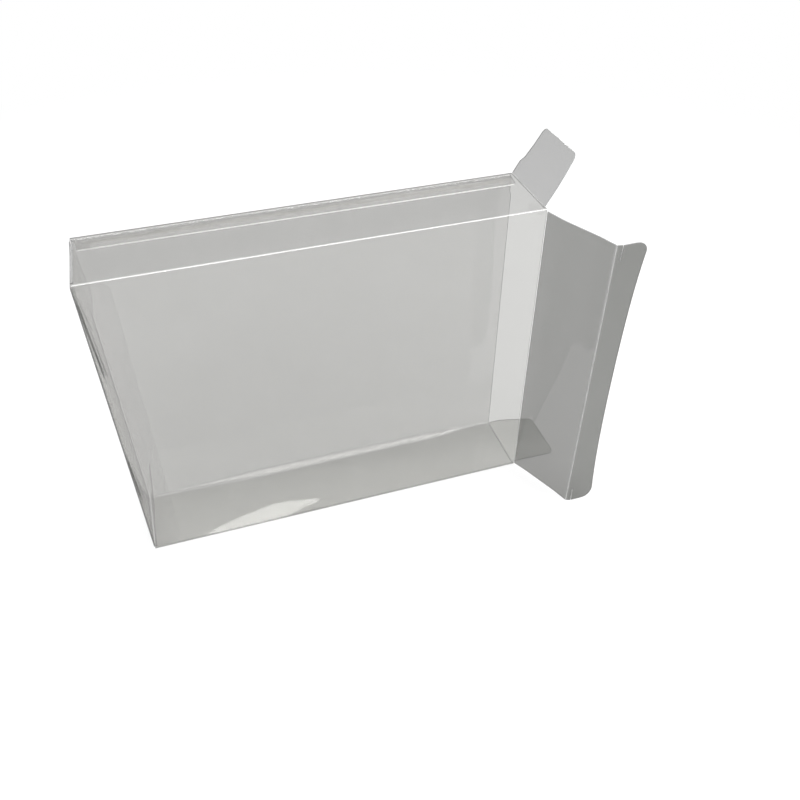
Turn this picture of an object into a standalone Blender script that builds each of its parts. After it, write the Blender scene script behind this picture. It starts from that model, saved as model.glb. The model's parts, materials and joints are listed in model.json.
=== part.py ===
"""Clear folding box that protects a boxed game.

It is one sheet of clear film, creased into four walls and closed by a glued seam. Each end has
two dust flaps, a main flap and a tuck tab on it. Here one end is tucked shut, and the other
stands open, its flaps where they spring back to.
"""

import math

import bmesh
import bpy

# Metres. X runs along the box, Y from front to back and Z up. The origin is under the middle of
# the bottom wall: the box stands on one of its long narrow walls.

# The sheet and its creases
FILM = 0.0004
FOLD_RADIUS = 0.0007  # of the sheet's middle, round a crease between two walls
FOLD_STEPS = 6
SCORE_WIDTH = 0.0004  # beside a flap's crease the film thins out over this width
SCORE_SHARE = 0.45  # of the film's thickness that is left at the crease
CORNER_STEPS = 6

# The four walls, outside
LENGTH = 0.178
DEPTH = 0.0336
HEIGHT = 0.1427

# Glued seam: a flap from the back wall, under the top wall
GLUE_FLAP_WIDTH = 0.0115
GLUE_FLAP_INSET = 0.0012  # of its ends from the walls' ends, at its crease
GLUE_FLAP_MITRE = 0.0012  # more inset than that, at its free edge
GLUE_THICKNESS = 0.00015
GLUE_LINE_WIDTH = 0.0022
GLUE_LINE_FROM_BACK = 0.0058  # from the box's back to the middle of the line
GLUE_LINE_INSET = 0.004
GLUE_BITE = 0.0001  # how far the dried glue goes into each film

# Main flaps, hung on the front wall at the open end and on the back wall at the closed end
MAIN_CREASE_GAP = 0.0004  # from a crease's axis to the film on each side of it
MAIN_BOTTOM_SIDE = [(0.0, 0.0008), (0.04, 0.0008)]  # (from the crease, inset)
MAIN_TOP_SIDE = [(0.0, 0.0012), (0.008, 0.002), (0.04, 0.0018)]
OPEN_END_SWING = 156  # degrees that the open end's main flap stands from shut
OPEN_MAIN_SHORT = 0.0002  # how much narrower than the box's depth that flap is

# Tuck tabs, on the main flaps
TAB_WIDTH = 0.0128
TAB_BOTTOM_SIDE = [(0.0, 0.0008), (0.0128, 0.0017)]
TAB_TOP_SIDE = [(0.0, 0.0018), (0.0128, 0.0011)]
TAB_CORNER = 0.005
TAB_CREASE_GAP = 0.0003
TAB_CLEARANCE = 0.00055  # from a tucked tab to the wall it lies along
TUCKED_FOLD = 90  # degrees that a tucked tab is turned in from its main flap
SPRUNG_FOLD = 58  # and a free one, about
TAB_COLUMNS = 28

# How a free tab has sprung open, in degrees from that fold. Its ends, cut loose, fold in two steps
MIDDLE_TURN = 19
END_TURN = 4  # past the slits
END_TURN_POWER = 2.3  # how late along the tab it comes in
END_STRIP_TURN = -17  # from the crease to the slits
END_STRIP_POWER = 6

# Lock slits in a tab, from each of its ends
SLIT_FROM_CREASE = 0.0024
SLIT_LENGTH = 0.007
SLIT_WIDTH = 0.00035

# Dust flaps, on the top and bottom walls
DUST_WIDTH = 0.0231
DUST_SETBACK = 0.0003  # of a shut flap's middle from the walls' ends, so that it lies inside
DUST_CREASE_GAP = 0.0003
DUST_NOTCH_GAP = 0.0003  # beside a flap, in the wall's end
DUST_CORNER = 0.0024
DUST_HINGE_SIDE = [(0.0, 0.002), (0.04, 0.0011)]  # beside the main flap's crease
DUST_SHOULDER = 0.0012  # inset of the locking side as far as its shoulder
TOP_DUST_SHOULDER = 0.0002  # and of the open end's top one, which swings past the back wall's end
SHUT_DUST_SHOULDER = 0.002  # and beside a tucked tab, to leave it room
DUST_SHOULDER_OUT = 0.006  # from the crease to the shoulder
DUST_NECK = (0.0085, 0.0017)  # where the shoulder ends, and its inset
DUST_TAPER = 0.0053  # inset of the locking side at the free edge
DUST_LEAN = 4  # degrees that the shut flaps lean into the box
OPEN_TOP_DUST_RISE = 63  # degrees above level, sprung back
OPEN_BOTTOM_DUST_RISE = 0  # flat on the table

FILM_COLOUR = (0.78, 0.79, 0.77, 1)

# The sheet's middle, in each wall
WALL_Y = (DEPTH - FILM) / 2
BOTTOM_Z = FILM / 2
TOP_Z = HEIGHT - FILM / 2
GLUE_FLAP_Z = TOP_Z - FILM - GLUE_THICKNESS
# From a main flap's crease to its tab's crease. The shut one's tab clears the far wall
SHUT_MAIN_WIDTH = 2 * WALL_Y - FILM - TAB_CLEARANCE
OPEN_MAIN_WIDTH = DEPTH - OPEN_MAIN_SHORT


def clear_scene():
    for obj in list(bpy.data.objects):
        bpy.data.objects.remove(obj, do_unlink=True)


def new_collection(name):
    collection = bpy.data.collections.new(name)
    bpy.context.scene.collection.children.link(collection)
    return collection


def film_material(name):
    """Clear film as it looks in two layers on white: a pale neutral grey with a sharp gloss."""
    material = bpy.data.materials.new(name)
    material.use_nodes = True
    shader = material.node_tree.nodes["Principled BSDF"]
    shader.inputs["Base Color"].default_value = FILM_COLOUR
    shader.inputs["Metallic"].default_value = 0
    shader.inputs["Roughness"].default_value = 0.08
    shader.inputs["IOR"].default_value = 1.57
    shader.inputs["Alpha"].default_value = 0.35
    return material


def add_object(name, bm, collection, parent=None):
    """An object from a bmesh, with a material of its own."""
    bmesh.ops.recalc_face_normals(bm, faces=bm.faces)
    mesh = bpy.data.meshes.new(name)
    bm.to_mesh(mesh)
    bm.free()
    mesh.materials.append(film_material(name))
    obj = bpy.data.objects.new(name, mesh)
    obj.parent = parent
    collection.objects.link(obj)
    return obj


def add_box(name, corner, far_corner, collection, parent=None):
    """A plain box between two corners, as a cutter or a joining piece: it isn't part of the model."""
    bm = bmesh.new()
    bmesh.ops.create_cube(bm, size=1)
    for vert in bm.verts:
        vert.co = [low + (high - low) * (at + 0.5) for low, high, at in zip(corner, far_corner, vert.co)]
    obj = add_object(name, bm, collection, parent)
    obj.hide_render = True
    obj.display_type = "WIRE"
    return obj


def add_boolean(obj, other, operation):
    modifier = obj.modifiers.new(other.name, "BOOLEAN")
    modifier.operation = operation
    modifier.object = other


def add_thickness(obj):
    """Gives a sheet its thickness, half to each side. A vertex group, where it has one, thins it."""
    modifier = obj.modifiers.new("film", "SOLIDIFY")
    modifier.thickness = FILM
    modifier.offset = 0
    modifier.use_even_offset = True
    if obj.vertex_groups:
        modifier.vertex_group = obj.vertex_groups[0].name


def side_inset(side, out):
    """Inset of a flap's side edge at a distance from the crease, from the edge's corner points."""
    for (near, inset), (far, far_inset) in zip(side, side[1:]):
        if out <= far:
            return inset + (far_inset - inset) * (out - near) / (far - near)
    return side[-1][1]


def corner_inset(out, width, radius):
    """How far a round corner at the free edge pulls the side in, at a distance from the crease."""
    past = out - (width - radius)
    return radius - math.sqrt(max(radius**2 - past**2, 0)) if past > 0 else 0


def flap_rows(start, width, sides, radius=0.0, scores=()):
    """A flap as rows along its crease: (distance from the crease, inset at each end of the row)."""
    stops = {start, width, *scores}
    for side in sides:
        stops |= {out for out, _ in side if start < out < width}
    for step in range(CORNER_STEPS + 1):
        stops.add(width - radius + radius * math.sin(math.radians(90 * step / CORNER_STEPS)))
    stops = sorted({round(out, 8) for out in stops})
    return [
        (out, *[side_inset(side, out) + corner_inset(out, width, radius) for side in sides])
        for out in stops
    ]


def flat_section(out, share):
    """(x, y) of a flat flap's middle at a distance from its crease."""
    return out, 0


def sprung_section(out, share):
    """The same for a sprung tab. share is 0 at its middle, and 1 or -1 at an end."""
    strip = min(out, SLIT_FROM_CREASE)
    strip_share = abs(share) ** END_STRIP_POWER
    strip_turn = math.radians(MIDDLE_TURN + (END_STRIP_TURN - MIDDLE_TURN) * strip_share)
    turn_share = abs(share) ** END_TURN_POWER
    turn = math.radians(MIDDLE_TURN + (END_TURN - MIDDLE_TURN) * turn_share)
    x = strip * math.cos(strip_turn) + (out - strip) * math.cos(turn)
    y = strip * math.sin(strip_turn) + (out - strip) * math.sin(turn)
    return x, y


def add_flap(name, rows, crease_length, thin_rows, collection, parent, section, columns=1):
    """A flap in its own frame: its crease along Z through the origin, the film out along X.

    thin_rows are the distances at which the film is scored, and section gives its shape seen
    along the crease.
    """
    bm = bmesh.new()
    share = bm.verts.layers.deform.verify()
    grid = []
    for out, low_inset, high_inset in rows:
        low = -crease_length / 2 + low_inset
        high = crease_length / 2 - high_inset
        row = []
        for column in range(columns + 1):
            along = low + (high - low) * column / columns
            x, y = section(out, 2 * along / crease_length)
            vert = bm.verts.new((x, y, along))
            scored = any(abs(out - thin) < 1e-8 for thin in thin_rows)
            vert[share][0] = SCORE_SHARE if scored else 1
            row.append(vert)
        grid.append(row)
    for row, next_row in zip(grid, grid[1:]):
        for column in range(columns):
            bm.faces.new((row[column], row[column + 1], next_row[column + 1], next_row[column]))
    obj = add_object(name, bm, collection, parent)
    obj.vertex_groups.new(name="thickness")
    add_thickness(obj)
    return obj


def dust_side(shoulder):
    """The locking side of a dust flap: straight to its shoulder, then tapered."""
    neck_out, neck_inset = DUST_NECK
    return [
        (0.0, shoulder),
        (DUST_SHOULDER_OUT, shoulder),
        (neck_out, max(neck_inset, shoulder)),
        (DUST_WIDTH, DUST_TAPER),
    ]


def crease_arc(centre_y, centre_z, start, end):
    """(y, z) of the film's middle round a crease between two walls, angles in degrees from +Y."""
    points = []
    for step in range(FOLD_STEPS + 1):
        angle = math.radians(start + (end - start) * step / FOLD_STEPS)
        y = centre_y + FOLD_RADIUS * math.cos(angle)
        points.append((y, centre_z + FOLD_RADIUS * math.sin(angle)))
    return points


def pairs_along(bm, points, half_length=LENGTH / 2):
    """For each (y, z), one vertex at each end of the box."""
    return [[bm.verts.new((x, y, z)) for x in (-half_length, half_length)] for y, z in points]


def join_pairs(bm, pairs):
    for (left, right), (next_left, next_right) in zip(pairs, pairs[1:]):
        bm.faces.new((left, right, next_right, next_left))


def notched_end(bm, x, inward, z, sides):
    """A wall's end edge with a notch for a dust flap's crease, from the first side to the second."""
    first, second = sides
    corners = ((x, first), (x + inward, first), (x + inward, second), (x, second))
    return [bm.verts.new((corner_x, y, z)) for corner_x, y in corners]


def shut_dust_flap(bm, roots, sides, wall_z, down):
    """A dust flap of the closed end, folded from the wall's notch between its two root vertices.

    sides are the insets of its front and back edges, and down is -1 from the top wall, 1 from
    the bottom wall.
    """
    start_x = roots[0].co.x
    last_angle = math.radians(90 + DUST_LEAN)
    row = roots
    rows = [row]
    for step in range(1, FOLD_STEPS + 1):
        angle = last_angle * step / FOLD_STEPS
        x = start_x - FOLD_RADIUS * math.sin(angle)
        z = wall_z + down * FOLD_RADIUS * (1 - math.cos(angle))
        row = [bm.verts.new((x, vert.co.y, z)) for vert in roots]
        rows.append(row)
    bend_x, bend_z = x, z
    for out, front, back in flap_rows(0.0, DUST_WIDTH, sides, DUST_CORNER)[1:]:
        x = bend_x - out * math.cos(last_angle)
        z = bend_z + down * out * math.sin(last_angle)
        rows.append([bm.verts.new((x, y, z)) for y in (-DEPTH / 2 + front, DEPTH / 2 - back)])
    join_pairs(bm, rows)


def add_sleeve(collection, cutters):
    """The four walls, the glue flap and the closed end's dust flaps, folded from one sheet."""
    bm = bmesh.new()
    near_y = WALL_Y - FOLD_RADIUS
    low_z = BOTTOM_Z + FOLD_RADIUS
    high_z = TOP_Z - FOLD_RADIUS

    # Glue flap and its crease, shorter than the walls and mitred
    crease = pairs_along(
        bm,
        crease_arc(near_y, GLUE_FLAP_Z - FOLD_RADIUS, 90, 0),
        LENGTH / 2 - GLUE_FLAP_INSET,
    )
    free_edge = pairs_along(
        bm,
        [(WALL_Y - GLUE_FLAP_WIDTH, GLUE_FLAP_Z)],
        LENGTH / 2 - GLUE_FLAP_INSET - GLUE_FLAP_MITRE,
    )
    join_pairs(bm, free_edge + crease)

    # Back wall, bottom wall, front wall and top wall, each with the crease that ends it
    back_bottom = pairs_along(bm, crease_arc(near_y, low_z, 0, -90))
    bottom_front = pairs_along(bm, crease_arc(-near_y, low_z, -90, -180))
    front_top = pairs_along(bm, crease_arc(-near_y, high_z, 180, 90))
    for pairs in (back_bottom, bottom_front, front_top):
        join_pairs(bm, pairs)

    # At the open end the walls stand back from the top dust flap's crease and its shoulder
    open_notch = -DUST_SETBACK - DUST_CREASE_GAP
    glue_left, glue_right = crease[-1]
    corner_z = GLUE_FLAP_Z - FOLD_RADIUS
    relief_z = TOP_Z - DUST_NECK[0] - DUST_NOTCH_GAP
    corner_left = bm.verts.new((-LENGTH / 2, WALL_Y, corner_z))
    corner_right = bm.verts.new((LENGTH / 2 + open_notch, WALL_Y, corner_z))
    relief_inner = bm.verts.new((LENGTH / 2 + open_notch, WALL_Y, relief_z))
    relief_outer = bm.verts.new((LENGTH / 2, WALL_Y, relief_z))
    low_left, low_right = back_bottom[0]
    right_side = (corner_right, relief_inner, relief_outer, low_right)
    bm.faces.new((glue_left, glue_right, *right_side, low_left, corner_left))
    join_pairs(bm, [bottom_front[-1], front_top[0]])

    # The closed end's locking sides are at the front, the open end's at the back
    shut_sides = (dust_side(SHUT_DUST_SHOULDER), DUST_HINGE_SIDE)
    shut_front = -DEPTH / 2 + SHUT_DUST_SHOULDER
    shut_back = DEPTH / 2 - DUST_HINGE_SIDE[0][1]
    shut_notch = FOLD_RADIUS + DUST_SETBACK
    open_front = -DEPTH / 2 + DUST_HINGE_SIDE[0][1] - DUST_NOTCH_GAP
    open_back = DEPTH / 2 - DUST_SHOULDER + DUST_NOTCH_GAP

    # Bottom wall, from its back crease to its front one
    right_end = notched_end(bm, LENGTH / 2, open_notch, BOTTOM_Z, (open_back, open_front))
    left_end = notched_end(bm, -LENGTH / 2, shut_notch, BOTTOM_Z, (shut_front, shut_back))
    first, last = back_bottom[-1], bottom_front[0]
    bm.faces.new((*first, *right_end, *reversed(last), *left_end))
    shut_dust_flap(bm, (left_end[1], left_end[2]), shut_sides, BOTTOM_Z, 1)

    # Top wall, from its front crease to its free edge at the back
    outer_right, inner_right = notched_end(bm, LENGTH / 2, open_notch, TOP_Z, (open_front, 0))[:2]
    left_end = notched_end(bm, -LENGTH / 2, shut_notch, TOP_Z, (shut_back, shut_front))
    edge_left = bm.verts.new((-LENGTH / 2, DEPTH / 2, TOP_Z))
    edge_right = bm.verts.new((LENGTH / 2 + open_notch, DEPTH / 2, TOP_Z))
    bm.faces.new((*front_top[-1], outer_right, inner_right, edge_right, edge_left, *left_end))
    shut_dust_flap(bm, (left_end[2], left_end[1]), shut_sides, TOP_Z, -1)

    sleeve = add_object("sleeve", bm, collection)
    add_thickness(sleeve)
    line_y = DEPTH / 2 - GLUE_LINE_FROM_BACK
    line = add_box(
        "glue_line",
        (-LENGTH / 2 + GLUE_LINE_INSET, line_y - GLUE_LINE_WIDTH / 2, GLUE_FLAP_Z + FILM / 2 - GLUE_BITE),
        (LENGTH / 2 - GLUE_LINE_INSET, line_y + GLUE_LINE_WIDTH / 2, TOP_Z - FILM / 2 + GLUE_BITE),
        cutters,
    )
    add_boolean(sleeve, line, "UNION")
    return sleeve


def add_end(name, x, turned, collection):
    """An empty at the middle of one end. The two ends are alike, half a turn apart."""
    end = bpy.data.objects.new(name, None)
    end.location = (x, 0, 0)
    end.rotation_euler.z = math.radians(turned)
    collection.objects.link(end)
    return end


def add_closure(prefix, end, width, swing, fold, section, columns, collection, cutters):
    """A main flap and its tuck tab, both hung on their creases. swing is the flap's turn from shut."""
    main_rows = flap_rows(
        MAIN_CREASE_GAP,
        width - TAB_CREASE_GAP,
        (MAIN_BOTTOM_SIDE, MAIN_TOP_SIDE),
        scores=(MAIN_CREASE_GAP + SCORE_WIDTH, width - TAB_CREASE_GAP - SCORE_WIDTH),
    )
    scored = (MAIN_CREASE_GAP, width - TAB_CREASE_GAP)
    name = prefix + "_main_flap"
    flap = add_flap(name, main_rows, HEIGHT, scored, collection, end, flat_section)
    flap.location = (MAIN_CREASE_GAP, -WALL_Y, HEIGHT / 2)
    flap.rotation_euler.z = math.radians(90 - swing)

    tab_rows = flap_rows(
        TAB_CREASE_GAP,
        TAB_WIDTH,
        (TAB_BOTTOM_SIDE, TAB_TOP_SIDE),
        TAB_CORNER,
        scores=(TAB_CREASE_GAP + SCORE_WIDTH, SLIT_FROM_CREASE),
    )
    tab = add_flap(
        prefix + "_tuck_tab",
        tab_rows,
        HEIGHT,
        (TAB_CREASE_GAP,),
        collection,
        flap,
        section,
        columns,
    )
    tab.location = (width, 0, 0)
    tab.rotation_euler.z = math.radians(fold)

    tab_bottom = TAB_BOTTOM_SIDE[0][1] - HEIGHT / 2
    tab_top = HEIGHT / 2 - TAB_TOP_SIDE[0][1]
    for side, low, high in (
        ("bottom", tab_bottom - SLIT_LENGTH, tab_bottom + SLIT_LENGTH),
        ("top", tab_top - SLIT_LENGTH, tab_top + SLIT_LENGTH),
    ):
        slit = add_box(
            f"{prefix}_{side}_slit",
            (SLIT_FROM_CREASE - SLIT_WIDTH / 2, -SLIT_LENGTH / 2, low),
            (SLIT_FROM_CREASE + SLIT_WIDTH / 2, SLIT_LENGTH / 2, high),
            cutters,
            tab,
        )
        add_boolean(tab, slit, "DIFFERENCE")


def add_open_dust_flap(name, end, wall_z, rise, shoulder, collection):
    """A dust flap of the open end, on its crease in the wall's notch."""
    rows = flap_rows(
        DUST_CREASE_GAP,
        DUST_WIDTH,
        (dust_side(shoulder), DUST_HINGE_SIDE),
        DUST_CORNER,
        scores=(DUST_CREASE_GAP + SCORE_WIDTH,),
    )
    flap = add_flap(name, rows, DEPTH, (DUST_CREASE_GAP,), collection, end, flat_section)
    flap.location = (-DUST_SETBACK, 0, wall_z)
    # Its crease runs from back to front, and it rises about that
    flap.rotation_euler = (math.radians(90), math.radians(-rise), 0)


def main():
    clear_scene()
    parts = new_collection("game_box_protector")
    cutters = new_collection("cutters")
    add_sleeve(parts, cutters)
    open_end = add_end("open_end", LENGTH / 2, 0, parts)
    closed_end = add_end("closed_end", -LENGTH / 2, 180, parts)
    add_closure(
        "open_end",
        open_end,
        OPEN_MAIN_WIDTH,
        OPEN_END_SWING,
        SPRUNG_FOLD,
        sprung_section,
        TAB_COLUMNS,
        parts,
        cutters,
    )
    add_closure(
        "closed_end",
        closed_end,
        SHUT_MAIN_WIDTH,
        0,
        TUCKED_FOLD,
        flat_section,
        1,
        parts,
        cutters,
    )
    for name, wall_z, rise, shoulder in (
        ("open_end_top_dust_flap", TOP_Z, OPEN_TOP_DUST_RISE, TOP_DUST_SHOULDER),
        ("open_end_bottom_dust_flap", BOTTOM_Z, OPEN_BOTTOM_DUST_RISE, DUST_SHOULDER),
    ):
        add_open_dust_flap(name, open_end, wall_z, rise, shoulder, parts)


main()
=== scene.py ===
# %% [markdown]
# # Looks of a clear film box
#
# The part is one sheet of clear film, creased and glued into a protective box. The imported model
# gives its size and its moving flaps. This script lays finer sheets over it: walls that bow a
# little, creases with a real bend, edges with a real thickness, and a glued seam.
#
# Clear film has hardly any colour of its own, so its look is made of four things: a grey tint
# that each layer adds, deepened with painted shade for the room behind; sharp reflections that
# grow at a slant; white stress lines where the film is creased, partly painted highlights, and
# painted shade on folds that look dark; and cut edges that gather light, painted as dark or
# glowing lines.

# %% The frame
import json
import math

import bmesh
import bpy
from mathutils import Matrix, Vector


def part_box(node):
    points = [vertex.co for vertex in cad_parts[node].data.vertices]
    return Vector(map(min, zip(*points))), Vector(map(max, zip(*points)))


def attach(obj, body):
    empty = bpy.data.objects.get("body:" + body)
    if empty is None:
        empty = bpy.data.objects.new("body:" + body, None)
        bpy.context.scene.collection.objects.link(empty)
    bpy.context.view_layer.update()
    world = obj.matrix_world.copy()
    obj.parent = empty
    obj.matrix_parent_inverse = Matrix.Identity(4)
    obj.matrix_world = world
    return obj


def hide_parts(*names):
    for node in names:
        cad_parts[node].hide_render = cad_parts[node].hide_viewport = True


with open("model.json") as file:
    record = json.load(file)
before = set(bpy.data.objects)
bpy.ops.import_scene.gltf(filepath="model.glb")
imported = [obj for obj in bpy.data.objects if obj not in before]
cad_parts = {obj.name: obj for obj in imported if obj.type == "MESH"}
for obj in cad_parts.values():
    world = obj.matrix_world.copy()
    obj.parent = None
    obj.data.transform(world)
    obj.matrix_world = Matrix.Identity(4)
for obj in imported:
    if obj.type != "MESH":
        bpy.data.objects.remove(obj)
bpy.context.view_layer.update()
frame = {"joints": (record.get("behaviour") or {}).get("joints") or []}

MM = 0.001

# %% [markdown]
# ## Sizes
#
# The walls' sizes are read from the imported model, so the film always fits it. The rest are sizes
# of the sheet itself. All lengths are in metres, with X along the box, Y to the back and Z up.
# The box's middle is at X = 0 and Y = 0, and it stands on Z = 0.

# %% Sizes
wall_low, wall_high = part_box("sleeve")
LENGTH = wall_high.x - wall_low.x
DEPTH = wall_high.y - wall_low.y
HEIGHT = wall_high.z - wall_low.z
FILM = 0.4 * MM
BEND = 0.7 * MM  # radius of the sheet's middle round a crease
GLUE_FLAP = 8.8 * MM
GLUE_THICK = 0.15 * MM

HALF = LENGTH / 2

# Planes of the sheet's middle
WALL_Y = (DEPTH - FILM) / 2
BOTTOM_Z = FILM / 2
TOP_Z = HEIGHT - FILM / 2
GLUE_Z = TOP_Z - FILM - GLUE_THICK

hinges = {joint["name"]: joint for joint in frame["joints"]}
print("box:", *(round(size / MM, 1) for size in (LENGTH, DEPTH, HEIGHT)), "mm")

# %% [markdown]
# ## Shader maths
#
# A material could be wired up node by node, but a formula is easier to read and to change. So a
# node's output is wrapped in a small class, and `0.05 + facing ** 5` builds the Math nodes for it.

# %% A socket that counts
class Value:
    """A socket that can be used in arithmetic."""

    def __init__(self, shader, socket):
        self.shader = shader
        self.socket = socket

    def math(self, operation, *others):
        settings = {"operation": operation}
        return self.shader.node("ShaderNodeMath", settings, dict(enumerate((self, *others))))

    def __add__(self, other):
        return self.math("ADD", other)

    def __sub__(self, other):
        return self.math("SUBTRACT", other)

    def __mul__(self, other):
        return self.math("MULTIPLY", other)

    def __truediv__(self, other):
        return self.math("DIVIDE", other)

    def __pow__(self, other):
        return self.math("POWER", other)

    def __rsub__(self, other):
        return self.shader.number(other).math("SUBTRACT", self)

    __radd__ = __add__
    __rmul__ = __mul__

    def between(self, low, high):
        """0 up to low, 1 from high, and smooth between them."""
        settings = {"interpolation_type": "SMOOTHSTEP"}
        inputs = {"Value": self, "From Min": low, "From Max": high}
        return self.shader.node("ShaderNodeMapRange", settings, inputs)

    def at_least(self, least):
        return self.math("MAXIMUM", least)

    def at_most(self, most):
        return self.math("MINIMUM", most)

    def clamped(self):
        return self.at_most(1.0).at_least(0.0)


# %% [markdown]
# One method makes any node, from its type, its settings and its inputs. The others are short
# names for the nodes that this script uses often.

# %% A material's nodes
class Shader:
    """A new material, or any other owner of a node tree."""

    def __init__(self, owner):
        owner.use_nodes = True
        self.owner = owner
        self.tree = owner.node_tree
        self.tree.nodes.clear()

    def node(self, kind, settings=None, inputs=None, output=0):
        node = self.tree.nodes.new(kind)
        for key, value in (settings or {}).items():
            setattr(node, key, value)
        for key, value in (inputs or {}).items():
            if isinstance(value, Value):
                self.tree.links.new(value.socket, node.inputs[key])
            else:
                node.inputs[key].default_value = value
        return Value(self, node.outputs[output])

    def number(self, value):
        node = self.tree.nodes.new("ShaderNodeValue")
        node.outputs[0].default_value = value
        return Value(self, node.outputs[0])

    def place(self):
        return self.node("ShaderNodeTexCoord", {}, None, "Object")

    def blank_place(self):
        """Place on the flat sheet, before it is folded."""
        return self.node("ShaderNodeUVMap", {"uv_map": "blank"})

    def axis(self, vector, name):
        return self.node("ShaderNodeSeparateXYZ", {}, {0: vector}, name)

    def noise(self, where, scale, detail=2.0, roughness=0.5):
        inputs = {"Vector": where, "Scale": scale, "Detail": detail, "Roughness": roughness}
        return self.node("ShaderNodeTexNoise", {}, inputs, "Fac")

    def stretched(self, where, scale):
        """Coordinates scaled by a different amount along each axis."""
        return self.node("ShaderNodeMapping", {}, {"Vector": where, "Scale": scale})

    def colour_mix(self, share, first, second):
        inputs = {0: share, 6: first, 7: second}
        return self.node("ShaderNodeMix", {"data_type": "RGBA"}, inputs, 2)

    def principled(self, inputs):
        return self.node("ShaderNodeBsdfPrincipled", {}, inputs)

    def window(self, colour):
        """A surface that rays cross unbent, in that colour."""
        return self.node("ShaderNodeBsdfTransparent", {}, {"Color": colour})

    def mixed(self, share, first, second):
        return self.node("ShaderNodeMixShader", {}, {0: share, 1: first, 2: second})

    def finish(self, surface, kind="ShaderNodeOutputMaterial"):
        out = self.tree.nodes.new(kind)
        self.tree.links.new(surface.socket, out.inputs["Surface"])
        return self.owner


def new_shader(name):
    return Shader(bpy.data.materials.new(name))


def grey(level):
    return level, level, level, 1


# %% [markdown]
# ## Film
#
# A ray goes straight through film, dimmed by its tint, except for a share that a thin mirror
# sends back. That share follows Schlick's rule for plastic: 5% head on and nearly all at a
# grazing slant. A milky share comes on top: a trace of it everywhere, as rubbed film has, and
# much of it on a crease, where stretching has turned the plastic white. On the top front crease
# and the soft bend that white is partly a painted highlight. Where a fold should look dark, a
# painted shade lets less through.
#
# Glass would bend the light at every face and stay noisy behind six layers. A Transparent shader
# mixed with a Principled one stays clean. The Principled gives both the mirror and the milk, and
# its Metallic is the mirror's part of them.

# %% Film shader
MIRROR = 0.049  # share that clear plastic reflects head on
PLASTIC_IOR = 1.57
MILK = (0.90, 0.90, 0.89, 1)
# Painted shade: where a fold should look dark, each face lets through only this grey.
FOLD_SHADE = grey(0.25)  # what one face lets through where the film is folded hard


def handling(shader, blank):
    """Soft smudges, and how milky they, their hairline scratches and specks make the film."""
    smudge = shader.noise(blank, 38.0, 3.0, 0.55).between(0.42, 0.72)
    hairs = shader.noise(shader.stretched(blank, (60.0, 2600.0, 1.0)), 1.0, 1.0)
    scratch = hairs.between(0.70, 0.76) * smudge
    specks = shader.noise(blank, 1900.0, 1.0).between(0.76, 0.80)
    return smudge, smudge * 0.008 + scratch * 0.03 + specks * 0.06 + 0.004


def film_material(name, tint, whitening=0.5, darkening=0.6, lift=None):
    """tint is what one face lets through, in red, green and blue. A film has two faces.

    The attribute crease is above 0 where the film is white: stress white, and on the top and
    soft bends partly a painted highlight. Below 0 it is painted shade, on folds that look dark,
    on buckles and towards the back of the bottom wall. The tint holds painted shade too.
    """
    shader = new_shader(name)
    blank = shader.blank_place()
    fold = shader.node("ShaderNodeAttribute", {"attribute_name": "crease"}, None, "Fac")
    crease = fold.at_least(0.0)
    dark = (0 - fold).at_least(0.0)
    facing = shader.node("ShaderNodeLayerWeight", {}, {"Blend": 0.5}, "Facing")
    mirror = facing ** 5.0 * (1 - MIRROR) + MIRROR

    smudge, rubbed = handling(shader, blank)
    flaws = shader.noise(blank, 420.0, 3.0).between(0.35, 0.7)
    white = crease * (flaws * 0.3 + 0.7) * whitening
    milky = (rubbed + white).clamped()
    solid = mirror + milky - mirror * milky

    height = shader.noise(blank, 22.0, 1.0) * 0.00014
    if lift:
        height = height + lift(shader)
    bump_inputs = {"Height": height, "Strength": 1.0, "Distance": 1.0}
    surface = shader.principled({
        "Base Color": MILK,
        "Metallic": mirror / solid,
        "Roughness": smudge * 0.07 + (crease + dark) * 0.16 + 0.035,
        "IOR": PLASTIC_IOR,
        "Normal": shader.node("ShaderNodeBump", {}, bump_inputs),
    })
    window = shader.mixed(dark * darkening, shader.window((*tint, 1)), shader.window(FOLD_SHADE))
    return shader.finish(shader.mixed(solid, window, surface))


# %% [markdown]
# ## Cut edges and worn folds
#
# Light that enters a clear sheet runs inside it and comes out where the sheet is cut. So a cut
# edge is darker than the film beside it, or brighter where it faces the light at its far end. An
# edge is only 0.4 mm wide, so tracing that light isn't worth its time: a ragged surface over a
# clear one paints the same line, as painted shade, or as a painted glow where it is bright. A
# fold that is worn by moving gets a rougher one, and a shut fold gets painted shade.

# %% Edges and folds
def edge_material(name, shade, share=0.7, clear=0.7, glow=0.0):
    """share is how much of a cut edge isn't clear, and clear is what the rest lets through.

    glow is how much painted light comes out of it.
    """
    shader = new_shader(name)
    ragged = shader.noise(shader.blank_place(), 900.0, 2.0).between(0.3, 0.7)
    surface = shader.principled({
        "Base Color": shader.colour_mix(ragged, grey(shade * 0.8), grey(shade)),
        "Roughness": ragged * 0.2 + 0.25,
        "IOR": PLASTIC_IOR,
        "Emission Color": grey(1),
        "Emission Strength": glow,
    })
    return shader.finish(shader.mixed(ragged * 0.15 + share, shader.window(grey(clear)), surface))


def bead_material(name, shade, share):
    """Film worn by folding, or painted shade on a shut fold. share is how much of it is no longer
    clear.
    """
    shader = new_shader(name)
    worn = shader.noise(shader.place(), 500.0, 2.0)
    surface = shader.principled({"Base Color": grey(shade), "Roughness": worn * 0.2 + 0.4})
    window = shader.window((0.86, 0.86, 0.85, 1))
    return shader.finish(shader.mixed(worn * 0.2 + share, window, surface))


# %% [markdown]
# ## Glue
#
# Dried glue between two films is milky, and thin in places. It could be a solid lump, but what
# the eye sees is uneven cloudiness, so a noise that is stretched along the seam sets its share.

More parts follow.
